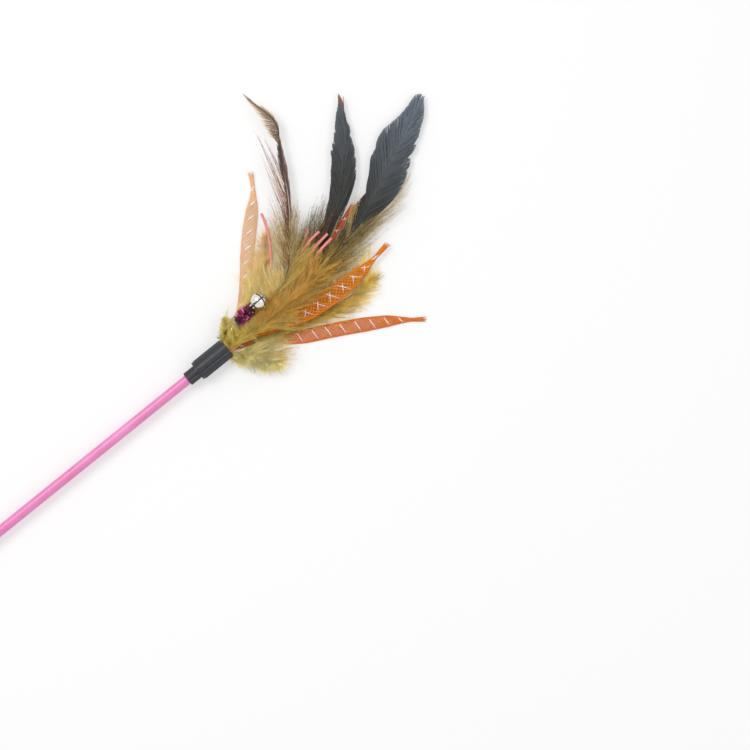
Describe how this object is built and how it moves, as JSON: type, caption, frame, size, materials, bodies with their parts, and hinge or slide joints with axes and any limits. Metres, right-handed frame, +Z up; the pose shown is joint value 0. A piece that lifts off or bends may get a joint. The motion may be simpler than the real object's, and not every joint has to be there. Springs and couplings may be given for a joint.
{
  "type": "cat teaser wand",
  "caption": "Toy wand: a hollow rod whose grooved ferrule holds feathers, down plumes, net tubes, suede laces and a jingle bell that swings on a wire hook.",
  "frame": {"origin": "centre of the rod's butt, on the rod's axis", "axes": "+X along the rod from the butt to the head, +Y to the left seen from above, +Z up from the surface that the wand lies on"},
  "size_m": [0.5273, 0.1412, 0.0162],
  "materials": {
    "rod": "pink plastic tube, slightly translucent",
    "ferrule": "black moulded plastic, semi-gloss",
    "glue": "hot glue",
    "thread": "white binding thread",
    "wire": "bright steel wire",
    "tinsel": "purple foil",
    "bell": "polished plating",
    "pea": "plain steel",
    "net": "orange nylon net with silver stitches",
    "lace": "pink suede",
    "barred": "brown and tan feather",
    "dark": "blackish feather with a green gloss",
    "down_olive": "olive marabou down",
    "down_gold": "golden brown marabou down"
  },
  "bodies": {
    "wand": {"rod": "rod", "ferrule": "ferrule", "glue_plug": "glue", "binding_thread": "thread", "stem_wire": "wire", "stem_tinsel": "tinsel", "mesh_tube_left": "net", "mesh_tube_right": "net", "mesh_tube_lower": "net", "mesh_tube_back": "net", "pink_lace_1": "lace", "pink_lace_2": "lace", "pink_lace_3": "lace", "pink_lace_4": "lace", "pink_lace_5": "lace", "barred_feather": "barred", "dark_feather_upper": "dark", "dark_feather_lower": "dark", "marabou_left_tuft": "down_olive", "marabou_right_tuft": "down_olive", "marabou_left_plume": "down_olive", "marabou_centre_plume": "down_gold", "marabou_right_plume": "down_gold"},
    "bell": {"bell_shell": "bell", "bell_eyelet": "bell"},
    "pea": {"bell_pea": "pea"}
  },
  "joints": [
    {"name": "bell_swing", "type": "hinge", "parent": "wand", "child": "bell", "pos_m": [0.3986, 0.0077, 0.00286], "axis": [0, -1, 0], "range_deg": [0, 35]},
    {"name": "pea_rattle", "type": "slide", "parent": "bell", "child": "pea", "axis": [0, 0, 1], "range_m": [0, 0.0046]}
  ]
}
